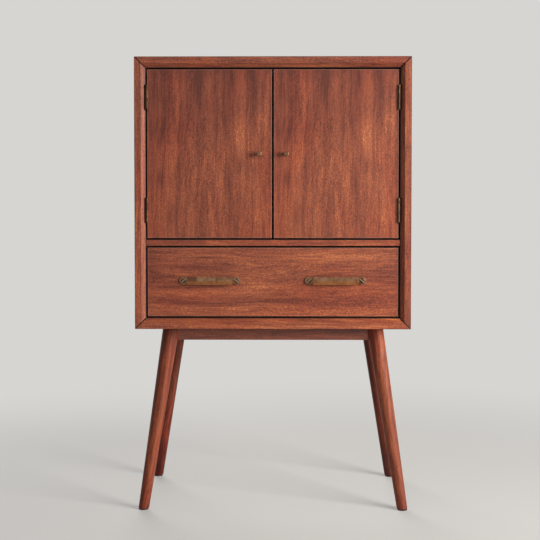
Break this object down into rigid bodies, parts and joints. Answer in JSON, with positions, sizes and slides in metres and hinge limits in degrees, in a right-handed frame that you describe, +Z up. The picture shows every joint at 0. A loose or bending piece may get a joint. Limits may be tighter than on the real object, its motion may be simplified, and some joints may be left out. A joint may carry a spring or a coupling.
{
  "type": "bar cabinet",
  "caption": "Bar cabinet on splayed round legs: bevelled mitred case, two hinged doors above a drawer whose front folds down as a serving shelf.",
  "frame": {"origin": "on the floor, under the middle of the whole object's box, which includes the knobs and pulls", "axes": "+Z up, front towards -Y, +X to the right of someone facing the doors"},
  "size_m": [0.762, 0.414, 1.258],
  "materials": {
    "case_wood": "satin red-brown stain over streaky acacia or mahogany veneer and solid edges",
    "inner_wood": "clear matt on plain hardwood and plywood",
    "brass": "antique, worn brighter on the edges",
    "steel": "zinc plated",
    "dark_plastic": "matt"
  },
  "bodies": {
    "cabinet": {"case_top": "case_wood", "case_bottom": "case_wood", "case_side_left": "case_wood", "case_side_right": "case_wood", "case_back": "inner_wood", "divider_shelf": "case_wood", "adjustable_shelf": "case_wood", "shelf_pin_front_left": "steel", "shelf_pin_back_left": "steel", "shelf_pin_front_right": "steel", "shelf_pin_back_right": "steel", "stemware_rail_1": "inner_wood", "stemware_rail_2": "inner_wood", "stemware_rail_3": "inner_wood", "stemware_rail_4": "inner_wood", "door_catch": "dark_plastic", "hinge_case_leaf_upper_left": "brass", "hinge_case_leaf_lower_left": "brass", "hinge_case_leaf_upper_right": "brass", "hinge_case_leaf_lower_right": "brass", "drawer_runner_left": "inner_wood", "drawer_runner_right": "inner_wood", "leg_front_left": "case_wood", "leg_back_left": "case_wood", "leg_front_right": "case_wood", "leg_back_right": "case_wood", "glide_front_left": "dark_plastic", "glide_back_left": "dark_plastic", "glide_front_right": "dark_plastic", "glide_back_right": "dark_plastic", "apron_front": "case_wood", "apron_back": "case_wood", "side_rail_left": "case_wood", "side_rail_right": "case_wood"},
    "left_door": {"door_left": "case_wood", "knob_left": "brass", "catch_plate_left": "steel", "hinge_door_leaf_upper_left": "brass", "hinge_door_leaf_lower_left": "brass"},
    "right_door": {"door_right": "case_wood", "knob_right": "brass", "catch_plate_right": "steel", "hinge_door_leaf_upper_right": "brass", "hinge_door_leaf_lower_right": "brass"},
    "drawer": {"drawer_side_left": "inner_wood", "drawer_side_right": "inner_wood", "drawer_floor": "inner_wood", "drawer_back": "inner_wood", "pivot_bracket_left": "steel", "pivot_bracket_right": "steel", "flap_magnet_left": "steel", "flap_magnet_right": "steel"},
    "folding_front": {"fold_out_shelf": "case_wood", "pull_left": "brass", "pull_right": "brass", "pull_screw_outer_left": "brass", "pull_screw_inner_left": "brass", "pull_screw_inner_right": "brass", "pull_screw_outer_right": "brass"}
  },
  "joints": [
    {"name": "left_door_hinge", "type": "hinge", "parent": "cabinet", "child": "left_door", "pos_m": [-0.347, -0.1903, 0.9915], "axis": [0, 0, -1], "range_deg": [0, 110]},
    {"name": "right_door_hinge", "type": "hinge", "parent": "cabinet", "child": "right_door", "pos_m": [0.347, -0.1903, 0.9915], "axis": [0, 0, 1], "range_deg": [0, 110]},
    {"name": "drawer_slide", "type": "slide", "parent": "cabinet", "child": "drawer", "axis": [0, -1, 0], "range_m": [0, 0.26]},
    {"name": "fold_out_hinge", "type": "hinge", "parent": "drawer", "child": "folding_front", "pos_m": [0, -0.177, 0.566], "axis": [1, 0, 0], "range_deg": [0, 90]}
  ]
}
